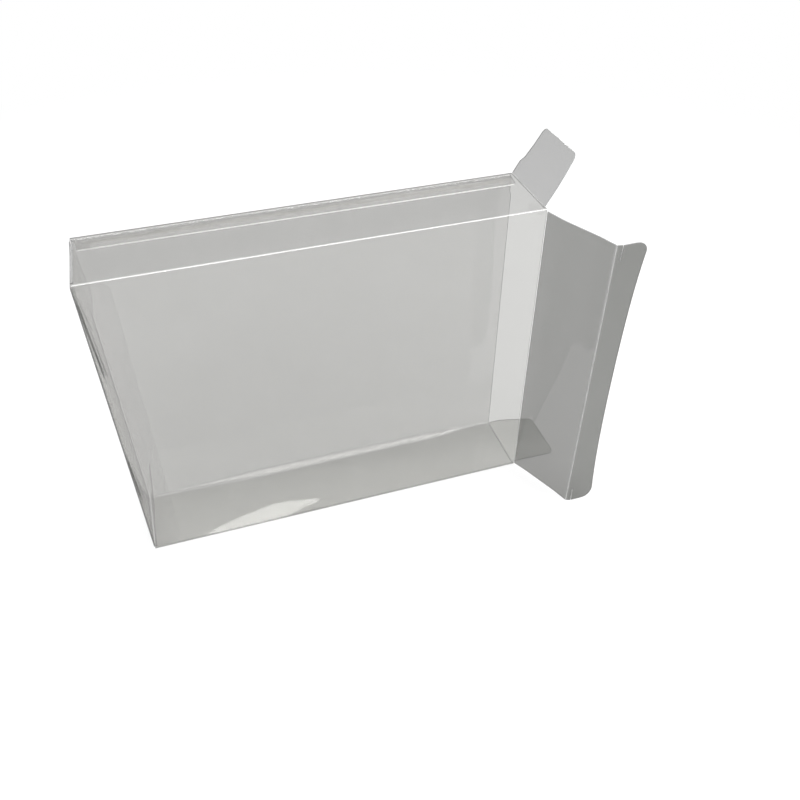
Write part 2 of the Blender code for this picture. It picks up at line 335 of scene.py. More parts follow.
# %% Glue
def glue_material(name):
    shader = new_shader(name)
    patchy = shader.noise(shader.stretched(shader.place(), (90.0, 700.0, 1.0)), 1.0, 3.0)
    milk = {"Base Color": (0.86, 0.86, 0.84, 1), "Roughness": patchy * 0.3 + 0.3}
    share = patchy.between(0.3, 0.75) * 0.16 + 0.04
    window = shader.window((0.97, 0.97, 0.96, 1))
    return shader.finish(shader.mixed(share, window, shader.principled(milk)))


# %% [markdown]
# ## A lift in the bottom wall
#
# Towards the shut end the bottom wall rises a little to its front crease, and mirrors a lamp
# there as a bright crescent. The box stands on this wall, so moving the film would lift the box
# off the table. A Bump node tilts the reflections alone. The lift is an even ramp, which starts
# on the crescent's curved inner edge.

# %% Lift of the bottom wall
LIFT_START, LIFT_FULL = -66 * MM, -32 * MM  # along the box
LIFT_WIDTH = 10.8 * MM  # from the front crease inwards
LIFT_SLOPE = 0.31


def front_lift(shader):
    """Height of the bottom wall's lift, for a Bump node."""
    place = shader.place()
    x, y = shader.axis(place, "X"), shader.axis(place, "Y")
    rise = ((x - LIFT_START) / (LIFT_FULL - LIFT_START)).clamped() ** 0.6
    reach = rise * (1 - x.between(-38 * MM, 35 * MM)) * LIFT_WIDTH
    band = reach * (1 - x.between(-34 * MM, -8 * MM) * 0.7)
    ramp = (reach - (y + DEPTH / 2)).at_least(0.0).at_most(band)
    return ramp * (1 - x.between(-18 * MM, 6 * MM)) * LIFT_SLOPE


# %% [markdown]
# ## Films of the box
#
# It is one sheet, but its walls don't look alike: each shows a different part of the room behind
# it, some of it in shadow. So besides the film's own faint grey, the tints hold painted shade for
# that. The front, the top and the flaps that stand open are the greyest, and what lies inside
# another film adds hardly any grey.

# %% Films
wall_film = film_material("wall film", (0.760, 0.759, 0.751), darkening=0.9)
back_film = film_material("back film", (0.902, 0.902, 0.899))
bottom_film = film_material("bottom film", (0.888, 0.889, 0.878), lift=front_lift)
inner_film = film_material("inner film", (0.997, 0.995, 0.997), 0.75, 0.85)
dust_film = film_material("dust flap film", (0.672, 0.672, 0.670))
shut_film = film_material("shut flap film", (0.885, 0.884, 0.880), darkening=0.9)
main_film = film_material("main flap film", (0.535, 0.535, 0.528))
tab_film = film_material("tuck tab film", (0.470, 0.472, 0.462))
# Beads: the shut creases get painted shade, the open ones pale stretched film.
shaded_crease = bead_material("shaded crease", 0.42, share=0.1)
light_crease = bead_material("light crease", 0.80, share=0.2)
# Cut edges: painted shade for the dark lines, and a painted glow on the lit edge.
cut_edge = edge_material("cut edge", 0.28)
faint_edge = edge_material("faint edge", 0.7, share=0.03, clear=0.9)
bright_edge = edge_material("lit edge", 0.85, share=0.8, glow=0.8)
glue = glue_material("glue")
print("materials:", len(bpy.data.materials))

# %% [markdown]
# ## How film bows
#
# Film never lies quite flat. A Geometry Nodes group pushes the free middle of each sheet off its
# plane by a slow noise. Cloth simulation could do it too, but film is stiff and its bow is small,
# and this way the depth of the bow is one number. An attribute called hold is 1 where the sheet
# can't bow: on its creases and where a folded flap backs it.

# %% Nodes of a group
def new_group(name, *sockets):
    """A Geometry Nodes group with these sockets, and a function that adds a node to it."""
    group = bpy.data.node_groups.new(name, "GeometryNodeTree")
    for label, kind, direction in sockets:
        group.interface.new_socket(label, in_out=direction, socket_type=kind)

    def add(kind, inputs=None, **settings):
        node = group.nodes.new(kind)
        for key, value in settings.items():
            setattr(node, key, value)
        for key, value in (inputs or {}).items():
            if isinstance(value, bpy.types.NodeSocket):
                group.links.new(value, node.inputs[key])
            else:
                node.inputs[key].default_value = value
        return node.outputs

    return group, add


# %% [markdown]
# The group is one chain: a noise, times how loose the film is there, times the depth, gives how
# far each point moves along its normal.

# %% Bow
def bowing_group():
    """Moves each point along its normal, by Depth and a noise, and not at all where hold is 1."""
    group, add = new_group(
        "bow",
        ("Geometry", "NodeSocketGeometry", "INPUT"),
        ("Depth", "NodeSocketFloat", "INPUT"),
        ("Geometry", "NodeSocketGeometry", "OUTPUT"),
    )
    start = add("NodeGroupInput")
    hold = add("GeometryNodeInputNamedAttribute", {"Name": "hold"}, data_type="FLOAT")
    noise = add("ShaderNodeTexNoise", {"Scale": 17.0, "Detail": 0.5})
    loose = add("ShaderNodeMath", {0: 1.0, 1: hold["Attribute"]}, operation="SUBTRACT")
    share = add("ShaderNodeMath", {0: noise["Fac"], 1: loose[0]}, operation="MULTIPLY")
    depth = add("ShaderNodeMath", {0: share[0], 1: start["Depth"]}, operation="MULTIPLY")
    normal = add("GeometryNodeInputNormal")
    push = add("ShaderNodeVectorMath", {0: normal["Normal"], "Scale": depth[0]}, operation="SCALE")
    moved = add("GeometryNodeSetPosition", {"Geometry": start["Geometry"], "Offset": push[0]})
    add("NodeGroupOutput", {"Geometry": moved["Geometry"]})
    return group


BOW = bowing_group()
print("nodes in the bow:", len(BOW.nodes))

# %% [markdown]
# ## Sheets
#
# Each sheet is a grid of rows. A row holds its vertices as (place, place in the flat blank,
# crease, hold). Film has the same thickness everywhere, so the grid is one layer of faces and
# Solidify gives it the thickness. The rim that this makes is the cut edge, with a material of its
# own. Where a flap is scored to fold, a vertex group makes the film thinner.

# %% Small helpers
SHARP = math.radians(40)  # edges that turn more than this aren't shaded smooth


def applied(obj):
    """Turns the object's modifiers into its mesh."""
    graph = bpy.context.evaluated_depsgraph_get()
    mesh = bpy.data.meshes.new_from_object(obj.evaluated_get(graph))
    mesh.name = obj.name
    mesh.set_sharp_from_angle(angle=SHARP)
    obj.modifiers.clear()
    obj.data = mesh
    print(f"{obj.name}: {len(mesh.polygons)} faces")
    return obj


def new_object(name, data):
    obj = bpy.data.objects.new(name, data)
    bpy.context.scene.collection.objects.link(obj)
    return obj


def steps(start, end, spacing):
    """Values from start to end, evenly spaced by about that much, without the last."""
    count = max(1, math.ceil(abs(end - start) / spacing))
    return [start + (end - start) * step / count for step in range(count)]


def near(value, target, reach):
    """1 at the target, falling to 0 at that reach."""
    return max(0.0, 1 - abs(value - target) / reach)


# %% [markdown]
# BMesh builds the grid, because it can leave out the faces of a slit and give every vertex its
# own crease, hold and place in the blank.

# %% Sheet
SCORED = 0.45  # share of its thickness that a scored row keeps


def sheet_mesh(name, rows, skip, thin, others):
    """One layer of faces between the rows. The map blank is the sheet laid flat."""
    bm = bmesh.new()
    layers = {key: bm.verts.layers.float.new(key) for key in ("crease", "hold", "across", "along")}
    thickness = bm.verts.layers.deform.verify()
    grid = []
    for number, row in enumerate(rows):
        verts = []
        for place, blank, crease, hold in row:
            vert = bm.verts.new(place)
            vert[layers["crease"]] = crease
            vert[layers["hold"]] = hold
            vert[layers["across"]], vert[layers["along"]] = blank
            vert[thickness][0] = SCORED if number in thin else 1.0
            verts.append(vert)
        grid.append(verts)
    for number, (this, following) in enumerate(zip(grid, grid[1:])):
        for column in range(len(this) - 1):
            if skip(number, column):
                continue
            corners = this[column], this[column + 1], following[column + 1], following[column]
            face = bm.faces.new(corners)
            for kind, (_, its_rows) in enumerate(others):
                if number in its_rows:
                    face.material_index = 2 * kind + 2
    bmesh.ops.recalc_face_normals(bm, faces=bm.faces)
    uv = bm.loops.layers.uv.new("blank")
    for face in bm.faces:
        face.smooth = True
        for loop in face.loops:
            loop[uv].uv = (loop.vert[layers["across"]], loop.vert[layers["along"]])
    mesh = bpy.data.meshes.new(name)
    bm.to_mesh(mesh)
    bm.free()
    return mesh


def whole(row, column):
    """Skips no face."""
    return False


def film_sheet(name, rows, material, bow=0.0, skip=whole, thin=(), others=(), edge=None):
    """An object from rows. bow is how far it may bow, skip leaves faces out, thin rows are scored.

    others are more films, each with the rows that have it. edge is the material of the rim.
    """
    obj = new_object(name, sheet_mesh(name, rows, skip, thin, others))
    for film in (material, *(film for film, _ in others)):
        obj.data.materials.append(film)
        obj.data.materials.append(edge or cut_edge)
    obj.vertex_groups.new(name="thickness")
    if bow:
        sheet_bow = obj.modifiers.new("bow", "NODES")
        sheet_bow.node_group = BOW
        depth = next(item for item in BOW.interface.items_tree if item.name == "Depth")
        sheet_bow[depth.identifier] = bow
    solid = obj.modifiers.new("film", "SOLIDIFY")
    solid.thickness = FILM
    solid.offset = 0
    solid.use_even_offset = True
    solid.use_quality_normals = True
    solid.material_offset_rim = 1
    solid.vertex_group = "thickness"
    return applied(obj)


# %% [markdown]
# ## Walls
#
# The four walls and the glue flap are one strip of the sheet, so they are one piece here too, and
# no seam shows at a crease. The strip is followed round the box: glue flap, back, bottom, front
# and top. At the shut end the folded flaps hold it square. Towards the open end the crease
# between the back and the bottom opens into a softer bend.

# %% Sizes of the walls
WALL_BOW = -0.8 * MM  # inwards
DUST_FRONT = -DEPTH / 2 + 1.7 * MM
SHUT_DUST_FRONT = -DEPTH / 2 + 2.0 * MM
DUST_BACK = DEPTH / 2 - 2.0 * MM
OPEN_DUST_BACK = DEPTH / 2 - 0.9 * MM
OPEN_NOTCH = 0.6 * MM
SHUT_NOTCH = BEND + 0.3 * MM
RELIEF_Z = TOP_Z - 8.8 * MM  # above it the back wall is cut back at the open end
GLUE_INSET = 1.2 * MM  # of the glue flap's ends at its crease
GLUE_MITRE = 1.2 * MM  # and how much more at its free edge
STEP = 0.25 * MM  # between the two rows that make a step in an outline
FOLD_SIDE = 0.6 * MM  # flat strip beside a fold, before the film may bow


def softness(x):
    """How far the crease between back and bottom is from sharp, at a place along the box."""
    opening = (x + 84 * MM) / (50 * MM)
    closing = (HALF - 12 * MM - x) / (20 * MM)
    share = max(0.0, min(1.0, opening, closing))
    return share * share * (3 - 2 * share)


# %% [markdown]
# The rows lie close together where the outline or the crease needs them, and a few millimetres
# apart on the flat. A bend's rows are angles about its own centre.

# %% Rows round the box
def girth_path():
    """The rows round the sheet: (part, position in it)."""
    path = []

    def add(part, *positions):
        path.extend((part, position) for position in positions)

    glue_start, glue_end = WALL_Y - GLUE_FLAP, WALL_Y - BEND - FOLD_SIDE
    add("glue", glue_start, glue_start + STEP)
    add("glue", *steps(glue_start + 2 * STEP, glue_end, 2 * MM), glue_end)
    add("glue bend", *steps(90, 0, 13))
    back_top = GLUE_Z - BEND
    add("back", back_top, back_top - FOLD_SIDE)
    add("back", *steps(back_top - 2 * MM, RELIEF_Z + STEP, 2.5 * MM), RELIEF_Z + STEP, RELIEF_Z)
    add("back", *steps(RELIEF_Z - 3 * MM, 12 * MM, 6 * MM))
    add("back", 12 * MM, 9 * MM, 7 * MM, 5.5 * MM, 4.5 * MM)
    add("soft bend", *steps(0, -90, 7.5), -90)
    add("bottom", DUST_BACK + STEP, DUST_BACK)
    add("bottom", *steps(WALL_Y - 4.2 * MM, DUST_FRONT + 1 * MM, 3 * MM))
    add("bottom", SHUT_DUST_FRONT, SHUT_DUST_FRONT - STEP, DUST_FRONT, DUST_FRONT - STEP)
    add("front bend", *steps(-90, -180, 13), -180)
    add("front", BOTTOM_Z + BEND + FOLD_SIDE, BOTTOM_Z + 3 * MM)
    add("front", *steps(8 * MM, TOP_Z - 8 * MM, 6 * MM))
    add("front", TOP_Z - 3 * MM, TOP_Z - BEND - FOLD_SIDE)
    add("top bend", *steps(180, 90, 11), 90)
    add("top", DUST_FRONT - STEP, DUST_FRONT, SHUT_DUST_FRONT - STEP, SHUT_DUST_FRONT)
    add("top", *steps(SHUT_DUST_FRONT + 2 * MM, DUST_BACK - 1 * MM, 3 * MM))
    add("top", DUST_BACK, DUST_BACK + STEP, DEPTH / 2 - FOLD_SIDE, DEPTH / 2)
    return path


print("rows round the box:", len(girth_path()))

# %% [markdown]
# Each row has a place round the box, a crease value and a hold. The soft bend grows in radius
# with its softness, and the power on its sine and cosine flattens its middle, as in a curve that
# is pressed into a corner.

# %% Places round the box
SOFT_GROWTH = 2.0 * MM  # in the soft bend's radius
SOFT_POWER = 0.75


def powered(value, power):
    """A power that keeps the sign."""
    return math.copysign(abs(value) ** power, value)


def bend_place(part, at, x):
    """(y, z, crease, hold) on a bend, at an angle in degrees."""
    soft = softness(x) if part == "soft bend" else 0
    radius = BEND + SOFT_GROWTH * soft
    power = 1 + SOFT_POWER * soft
    side = 1 if part in ("glue bend", "soft bend") else -1
    centre_z = {
        "glue bend": GLUE_Z - radius,
        "soft bend": BOTTOM_Z + radius,
        "front bend": BOTTOM_Z + radius,
        "top bend": TOP_Z - radius,
    }[part]
    # Painted shade darkens the glue and front bends. The soft bend gets a painted highlight, and
    # the top bend stress white that is partly a painted highlight.
    crease = {
        "glue bend": -0.35 * near(at, 45, 45),
        "soft bend": 0.25 * near(at, -45, 45),
        "front bend": -1.0 * near(at, -150, 50),
        "top bend": 0.9 * near(at, 135, 26),
    }[part]
    turn = math.radians(at)
    y = side * (WALL_Y - radius) + radius * powered(math.cos(turn), power)
    return y, centre_z + radius * powered(math.sin(turn), power), crease, 1


def girth_place(part, at, x):
    """(y, z, crease, hold) of the sheet's middle on one row, at a place along the box."""
    if part == "glue":
        # The glue flap is whitened all over, and more at its free edge, as a painted highlight.
        return at, GLUE_Z, max(0.4, near(at, WALL_Y - GLUE_FLAP, 2 * STEP)), 1
    if part == "back":
        return WALL_Y, at, 0, max(near(at, GLUE_Z, 9 * MM), near(at, 0, 12 * MM))
    if part == "bottom":
        inner_y = WALL_Y - BEND
        y = at - SOFT_GROWTH * softness(x) * near(at, inner_y, 8 * MM)
        # Painted shade: the bottom wall grows darker towards the back.
        return y, BOTTOM_Z, -0.18 * (at + WALL_Y) / DEPTH, 1
    if part == "front":
        return -WALL_Y, at, 0, max(near(at, TOP_Z, 12 * MM), near(at, 0, 12 * MM))
    if part == "top":
        return at, TOP_Z, 0, max(near(abs(at), WALL_Y, 10 * MM), 0.2)
    return bend_place(part, at, x)


def girth_ends(part, at):
    """Where a row starts and ends along the box: the notches, the relief and the mitred flap."""
    left, right = -HALF, HALF
    if part in ("top", "bottom"):
        if SHUT_DUST_FRONT <= at <= DUST_BACK:
            left += SHUT_NOTCH
        if DUST_FRONT <= at and (part == "top" or at <= OPEN_DUST_BACK):
            right -= OPEN_NOTCH
    if part == "glue":
        inset = GLUE_INSET + GLUE_MITRE * (WALL_Y - at) / GLUE_FLAP
        return left + inset, right - inset
    if part == "glue bend":
        return left + GLUE_INSET, right - GLUE_INSET
    if part == "back" and at > RELIEF_Z:
        right -= OPEN_NOTCH
    return left, right


# %% [markdown]
# With those three, the sheet is a plain loop. Its columns crowd towards both ends, where the
# notches and the held ends are. The bottom, the back and the glue flap take other films than the
# front and the top do, and the glue flap's free edge takes the lit edge, whose glow is painted
# light.

# %% Walls
COLUMNS = 44


def wall_rows():
    inner = (step / COLUMNS for step in range(1, COLUMNS))
    shares = sorted({0, 0.004, 0.012, 0.988, 0.996, 1, *inner})
    rows = []
    distance = 0.0
    last = None
    for part, at in girth_path():
        left, right = girth_ends(part, at)
        middle = girth_place(part, at, 0)
        if last:
            distance += math.hypot(middle[0] - last[0], middle[1] - last[1])
        last = middle
        row = []
        for share in shares:
            x = left + (right - left) * share
            y, z, crease, hold = girth_place(part, at, x)
            held = max(hold, near(share, 0, 0.08), near(share, 1, 0.03))
            row.append(((x, y, z), (x, distance), crease, held))
        rows.append(row)
    return rows


def rows_of(*wanted):
    return {row for row, (part, _) in enumerate(girth_path()) if part in wanted}


walls = film_sheet(
    "film_walls", wall_rows(), wall_film, WALL_BOW,
    others=(
        (bottom_film, rows_of("bottom")),
        (inner_film, rows_of("glue", "glue bend")),
        (back_film, rows_of("back", "soft bend")),
    ),
)
walls.data.materials.append(bright_edge)
# Painted light: the glue flap's free edge gets the lit edge, whose glow stands in for the light it
# gathers.
for face in walls.data.polygons:
    at_free_edge = abs(face.center.y - (WALL_Y - GLUE_FLAP)) < 0.05 * MM
    if at_free_edge and abs(face.center.z - GLUE_Z) < 0.1 * MM:
        face.material_index = len(walls.data.materials) - 1
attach(walls, "sleeve")
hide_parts("sleeve")

# %% [markdown]
# ## Flaps
#
# A flap is built flat, with its crease on the Z axis and its film out along X. That is easier to
# measure and to check than a flap in its place. Its two sides are outlines of (distance from the
# crease, inset). It is then turned and moved to its hinge.

# %% Outlines
HINGE_GAP = 0.1 * MM  # between a flap's first row and the axis of its crease
TAB_WIDTH = 12.8 * MM
TAB_CORNER = 5 * MM
DUST_WIDTH = 23.1 * MM
DUST_CORNER = 2.4 * MM
SLIT_AT = 2.4 * MM  # from the tab's crease
SLIT_LONG = 7 * MM
SLIT_WIDE = 0.3 * MM
BEYOND = 40 * MM  # further out than any flap reaches
MAIN_BOTTOM = [(0.0, 0.8 * MM), (BEYOND, 0.8 * MM)]
MAIN_TOP = [(0.0, 1.2 * MM), (8 * MM, 2.0 * MM), (BEYOND, 1.8 * MM)]
TAB_BOTTOM = [(0.0, 0.8 * MM), (TAB_WIDTH, 1.7 * MM)]
TAB_TOP = [(0.0, 1.8 * MM), (TAB_WIDTH, 1.1 * MM)]
DUST_HINGE_SIDE = [(0.0, 2.0 * MM), (BEYOND, 1.1 * MM)]


def dust_side(shoulder):
    neck = max(1.7 * MM, shoulder)
    return [(0.0, shoulder), (6 * MM, shoulder), (8.5 * MM, neck), (DUST_WIDTH, 5.3 * MM)]


def inset_at(side, out):
    for (from_out, inset), (to_out, to_inset) in zip(side, side[1:]):
        if out <= to_out:
            return inset + (to_inset - inset) * (out - from_out) / (to_out - from_out)
    return side[-1][1]


def corner_inset(out, width, radius):
    """What a round corner adds to both insets."""
    past = out - (width - radius)
    return radius - math.sqrt(max(radius**2 - past**2, 0)) if past > 0 else 0


# %% [markdown]
# A flap's rows run from one side's outline to the other's, so both sides keep their outline
# however the flap bends. Its round corners come from rows that lie closer together there.

# %% Rows of a flap
CREASE_WIDE = 0.5 * MM
FIRM = 8 * MM  # film this near a crease or an edge bows less


def flap_outs(start, width, sides, radius, spacing, extra=()):
    """Distances of a flap's rows from its crease, closer together round its corners."""
    outs = {start, start + 0.35 * MM, start + 0.8 * MM, width, *extra}
    outs |= set(steps(start + 3 * MM, width - radius, spacing))
    for side in sides:
        outs |= {out for out, _ in side if start < out < width}
    for step in range(8 if radius else 0):
        outs.add(width - radius + radius * math.sin(math.radians(90 * step / 7)))
    return sorted({round(out, 7) for out in outs})


def flap_rows(length, outs, sides, radius, section, shares, stress=0.5, far=False, painted_shade=None):
    """Rows of a flap in its own frame. section gives (x, y) at a distance and a share along.

    stress is the crease's value, and far says that the far side is a crease too. The last
    argument gives the painted shade of a buckle, at a distance and a height.
    """
    width = outs[-1]
    rows = []
    for out in outs:
        corner = corner_inset(out, width, radius)
        low = -length / 2 + inset_at(sides[0], out) + corner
        high = length / 2 - inset_at(sides[1], out) - corner
        row = []
        for share in shares:
            z = low + (high - low) * share
            x, y = section(out, 2 * z / length)
            crease = stress * near(out, outs[0], CREASE_WIDE)
            if far:
                crease += stress * near(out, width, CREASE_WIDE)
            if painted_shade:
                crease = min(crease, -painted_shade(out, z + length / 2))
            hold = max(near(out, 0, FIRM), near(out, width, FIRM), near(share, 0.5, 0.5) * 0.3)
            row.append(((x, y, z), (HALF + out, z), crease, hold))
        rows.append(row)
    return rows


def flat(out, share):
    return out, 0.0


# %% [markdown]
# The mesh itself is turned and moved, and its object stays at the origin. The joints then turn
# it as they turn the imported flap.

# %% Placing a flap
def placed(obj, where, turn, body):
    """Turns and moves the mesh itself, and gives the piece to its body in place of the node."""
    obj.data.transform(Matrix.Translation(where) @ turn)
    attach(obj, body)
    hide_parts(body)
    return obj


def hinge_place(name):
    return Vector(hinges[name]["pos_m"])


# %% [markdown]
# ## Main flaps
#
# A main flap closes its end of the box. The open one bows a little between its two creases, which
# hold it straight, and the shut one is held flat by its tucked tab.

# %% Main flaps
OPEN_SWING = math.radians(-66)
OPEN_FOLD = math.radians(58)
SHUT_SWING = math.radians(-90)
main_shares = sorted({0, 0.006, 1, 0.994, *(step / 30 for step in range(1, 30))})
open_width = (hinge_place("open_end_tab_crease") - hinge_place("open_end_flap_hinge")).length
shut_width = (hinge_place("closed_end_tab_crease") - hinge_place("closed_end_flap_hinge")).length
print("main flaps:", *(round(width / MM, 2) for width in (open_width, shut_width)), "mm wide")


def main_flap(name, hinge, width, angle, body, bow, material, stress):
    sides = (MAIN_BOTTOM, MAIN_TOP)
    near_tab = (width - 0.9 * MM, width - 0.5 * MM)
    outs = flap_outs(HINGE_GAP, width - HINGE_GAP, sides, 0, 4 * MM, near_tab)
    rows = flap_rows(HEIGHT, outs, sides, 0, flat, main_shares, stress, True)
    flap = film_sheet(name, rows, material, bow, thin=(0, len(rows) - 1))
    return placed(flap, hinge_place(hinge), Matrix.Rotation(angle, 4, "Z"), body)


# %% [markdown]
# ## Tuck tabs
#
# The open end's tab has sprung open. Its middle folds most. Its ends are cut loose by the lock
# slits, and each folds in two steps: a little at the crease and more past the slit. A formula for
# the section at each height gives that curl without bending the mesh afterwards.
#
# The shut end's tab has sprung off its crease in two places, and its film buckles there. The
# buckles show as dark streaks of shade and hardly a shape, so that shade is painted through the
# crease attribute.

# %% How the tabs bend
CURL = 19  # degrees that the open tab's middle folds beyond OPEN_FOLD
STRIP_CURL = 36  # how many fewer its ends fold, between the crease and the slits
END_CURL = 15  # how many fewer its ends fold, past the slits
BUCKLES = ((99, 138, 1.9, 0.4), (31, 60, 1.1, 0.4))  # mm: from, to, and both distances out


def sprung(out, share):
    strip = min(out, SLIT_AT)
    strip_turn = math.radians(CURL - STRIP_CURL * abs(share) ** 6)
    turn = math.radians(CURL - END_CURL * abs(share) ** 2.3)
    x = strip * math.cos(strip_turn) + (out - strip) * math.cos(turn)
    y = strip * math.sin(strip_turn) + (out - strip) * math.sin(turn)
    return x, y


def buckle_shade(out, z):
    """Painted shade of a buckle: a thin line slanting to the crease, with a fainter one beside it.
    """
    dark = 0.0
    for low, high, low_out, high_out in BUCKLES:
        share = (z / MM - low) / (high - low)
        if 0 < share < 1:
            line = (low_out + (high_out - low_out) * share) * MM
            strength = min(1.0, 6 * share, 6 * (1 - share))
            dark = max(dark, strength * min(1.0, 2 * near(out, line, 0.4 * MM)))
            dark = max(dark, 0.5 * strength * (1 - share) * near(out, line + 1.0 * MM, 0.6 * MM))
    return dark


# %% Tuck tabs
tab_shares = sorted({0, 0.025, 0.05, 0.95, 0.975, 1, *(step / 44 for step in range(3, 42))})


def tuck_tab(name, hinge, section, angle, body, material, stress, painted_shade=None, edge=None):
    sides = (TAB_BOTTOM, TAB_TOP)
    slit = (SLIT_AT - SLIT_WIDE / 2, SLIT_AT + SLIT_WIDE / 2)
    fine = steps(0.5 * MM, 3.5 * MM, 0.2 * MM) if painted_shade else ()
    outs = flap_outs(HINGE_GAP, TAB_WIDTH, sides, TAB_CORNER, 2 * MM, (*slit, *fine))
    rows = flap_rows(HEIGHT, outs, sides, TAB_CORNER, section, tab_shares, stress, painted_shade=painted_shade)
    slit_row = outs.index(round(slit[0], 7))

    def slits(row, column):
        share = (tab_shares[column] + tab_shares[column + 1]) / 2
        return row == slit_row and min(share, 1 - share) * HEIGHT < SLIT_LONG

    tab = film_sheet(name, rows, material, 0.0, slits, thin=(0,), edge=edge)
    return placed(tab, hinge_place(hinge), Matrix.Rotation(angle, 4, "Z"), body)


# %% [markdown]
# Film stretches white where it is folded out. Where it is folded shut and seen through it looks
# dark, and that dark is painted shade. So the open end's creases have a stress above 0, and the
# shut end's below 0.

# %% Both ends
main_flap(
    "film_open_main_flap", "open_end_flap_hinge", open_width, OPEN_SWING,
    "open_end_main_flap", 1.0 * MM, main_film, 0.25,
)
tuck_tab(
    "film_open_tuck_tab", "open_end_tab_crease", sprung, OPEN_SWING + OPEN_FOLD,
    "open_end_tuck_tab", tab_film, 0.25,
)
main_flap(
    "film_shut_main_flap", "closed_end_flap_hinge", shut_width, SHUT_SWING,
    "closed_end_main_flap", 0.0, shut_film, -1.0,
)
tuck_tab(
    "film_shut_tuck_tab", "closed_end_tab_crease", flat, 0.0,
    "closed_end_tuck_tab", inner_film, -1.0, buckle_shade, faint_edge,
)

# %% [markdown]
# ## Dust flaps of the open end
#
# Each dust flap has one straight side and one with a shoulder, which locks in the tab's slit. The
# open end's have sprung up off their walls, and they move, so they are built as the main flaps
# are.

# %% Open dust flaps
dust_shares = sorted({0, 0.03, 0.97, 1, *(step / 12 for step in range(1, 12))})


def open_dust_flap(name, hinge, shoulder, rise, body, bow, material):
    sides = (dust_side(shoulder), DUST_HINGE_SIDE)
    outs = flap_outs(HINGE_GAP, DUST_WIDTH, sides, DUST_CORNER, 3 * MM)
    rows = flap_rows(DEPTH, outs, sides, DUST_CORNER, flat, dust_shares)
    flap = film_sheet("film_" + name, rows, material, bow, thin=(0,))
    # The crease runs from back to front, and the flap rises about it
    turn = Matrix.Rotation(math.radians(-rise), 4, "Y") @ Matrix.Rotation(math.radians(90), 4, "X")
    return placed(flap, hinge_place(hinge), turn, body)


open_dust_flap(
    "open_top_dust_flap", "open_end_top_dust_hinge", 0.2 * MM, 63,
    "open_end_top_dust_flap", -1.0 * MM, dust_film,
)
open_dust_flap(
    "open_bottom_dust_flap", "open_end_bottom_dust_hinge", 1.2 * MM, 0,
    "open_end_bottom_dust_flap", 0.0, bottom_film,
)

# %% [markdown]
# ## Dust flaps of the shut end
#
# These two are folded in past square and don't move, because the tucked main flap shuts them in.
# So each bends out of its wall with no gap, by eight rows round the crease.

# %% Shut dust flaps
BEND_ROWS = 8


def shut_dust_flap(name, wall_z, down, lean, dark):
    """Folded in from the wall's notch. down is -1 from the top wall and 1 from the bottom wall.

    lean is how many degrees it has turned, and dark how strong a line of painted shade runs
    along its back side.
    """
    lean = math.radians(lean)
    sides = (dust_side(2.0 * MM), DUST_HINGE_SIDE)
    outs = flap_outs(0.0, DUST_WIDTH, sides, DUST_CORNER, 3 * MM)
    bend = [(lean * step / (BEND_ROWS - 1), 0.0) for step in range(BEND_ROWS)]
    rows = []
    for angle, out in bend + [(lean, out) for out in outs[1:]]:
        corner = corner_inset(out, DUST_WIDTH, DUST_CORNER)
        front = -DEPTH / 2 + inset_at(sides[0], out) + corner
        back = DEPTH / 2 - inset_at(sides[1], out) - corner
        x = -HALF + SHUT_NOTCH - BEND * math.sin(angle) - out * math.cos(angle)
        z = wall_z + down * (BEND * (1 - math.cos(angle)) + out * math.sin(angle))
        # Painted shade on the fold, and, with dark, a painted line along the back side.
        crease = -0.8 * near(angle, lean / 2, lean / 2) if out == 0 else 0
        row = []
        for share in dust_shares:
            y = front + (back - front) * share
            side = -dark * near(share, 1, 0.05) * near(out, 8 * MM, 9 * MM) ** 0.5
            row.append(((x, y, z), (-HALF - out, y), min(crease, side), 1))
        rows.append(row)
    flap = film_sheet("film_" + name, rows, inner_film, edge=faint_edge)
    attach(flap, "sleeve")
    return flap


shut_dust_flap("shut_top_dust_flap", TOP_Z, -1, 94, 0)
shut_dust_flap("shut_bottom_dust_flap", BOTTOM_Z, 1, 100, 1)

# %% [markdown]
# ## Creases that move
#
# Where a flap is hung on its crease, a thin bead of stretched film fills the line between the two
# sheets, so that they stay joined in every pose. A round bead looks the same at every angle of
# the flap, which a flat strip wouldn't. One Geometry Nodes group makes all the beads: a line,
# swept with a small circle whose size a noise roughens a little.

# %% Bead
def bead_group():
    group, add = new_group(
        "crease bead",
        ("Start", "NodeSocketVector", "INPUT"),
        ("End", "NodeSocketVector", "INPUT"),
        ("Radius", "NodeSocketFloat", "INPUT"),
        ("Material", "NodeSocketMaterial", "INPUT"),
        ("Geometry", "NodeSocketGeometry", "OUTPUT"),
    )
    start = add("NodeGroupInput")
    line = add("GeometryNodeCurvePrimitiveLine", {"Start": start["Start"], "End": start["End"]})
    split = add("GeometryNodeResampleCurve", {"Curve": line["Curve"], "Count": 90})
    noise = add("ShaderNodeTexNoise", {"Scale": 300.0})
    size = add("ShaderNodeMapRange", {"Value": noise["Fac"], "To Min": 0.85, "To Max": 1.1})
    radius = add("ShaderNodeMath", {0: size["Result"], 1: start["Radius"]}, operation="MULTIPLY")
    circle = add("GeometryNodeCurvePrimitiveCircle", {"Resolution": 10, "Radius": 1.0})
    sweep = add("GeometryNodeCurveToMesh", {
        "Curve": split["Curve"],
        "Profile Curve": circle["Curve"],
        "Scale": radius[0],
        "Fill Caps": True,
    })
    smooth = add("GeometryNodeSetShadeSmooth", {"Geometry": sweep["Mesh"]})
    painted = {"Geometry": smooth["Geometry"], "Material": start["Material"]}
    add("NodeGroupOutput", {"Geometry": add("GeometryNodeSetMaterial", painted)["Geometry"]})
    return group


BEAD = bead_group()
BEAD_RADIUS = 0.18 * MM


